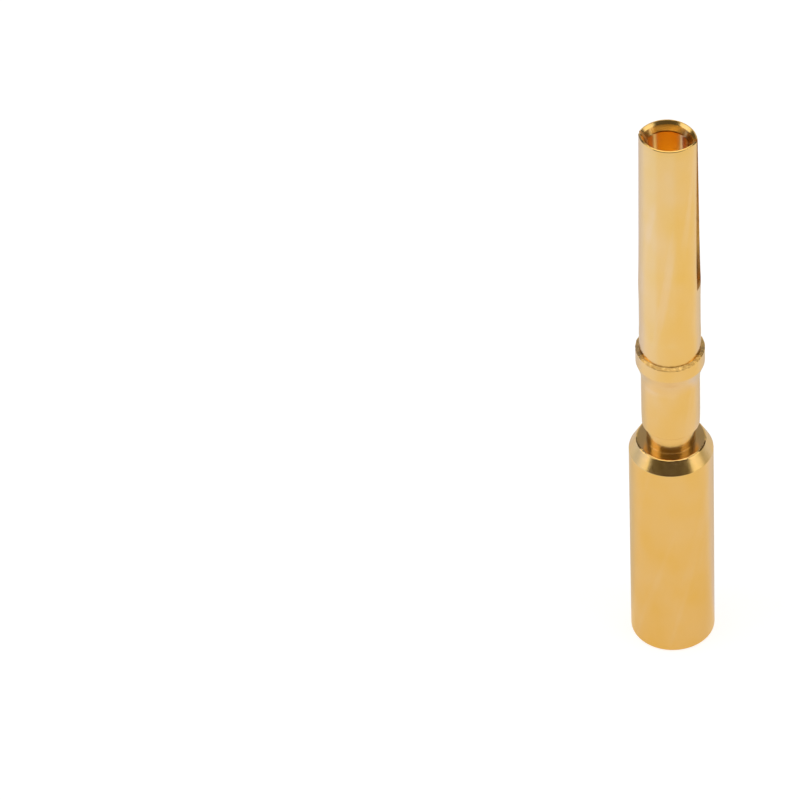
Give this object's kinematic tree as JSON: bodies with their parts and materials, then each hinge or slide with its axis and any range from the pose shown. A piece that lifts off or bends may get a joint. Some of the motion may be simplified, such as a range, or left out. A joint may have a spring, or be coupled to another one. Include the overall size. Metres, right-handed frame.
{
  "type": "crimp socket contact",
  "caption": "Turned gold-plated crimp contact: open crimp barrel, neck, shank with collar, and a slotted socket whose spring fingers grip a round pin.",
  "frame": {"origin": "centre of the foot, the open rear end of the crimp barrel, on which the contact stands", "axes": "+Z along the contact's axis towards the socket's mouth; the saw cut between the fingers lies in the XZ plane"},
  "size_m": [0.0032, 0.0032, 0.0262],
  "materials": {
    "gold_plating": "polished gold plating over turned copper alloy"
  },
  "bodies": {
    "root": {"contact_body": "gold_plating"}
  },
  "joints": []
}
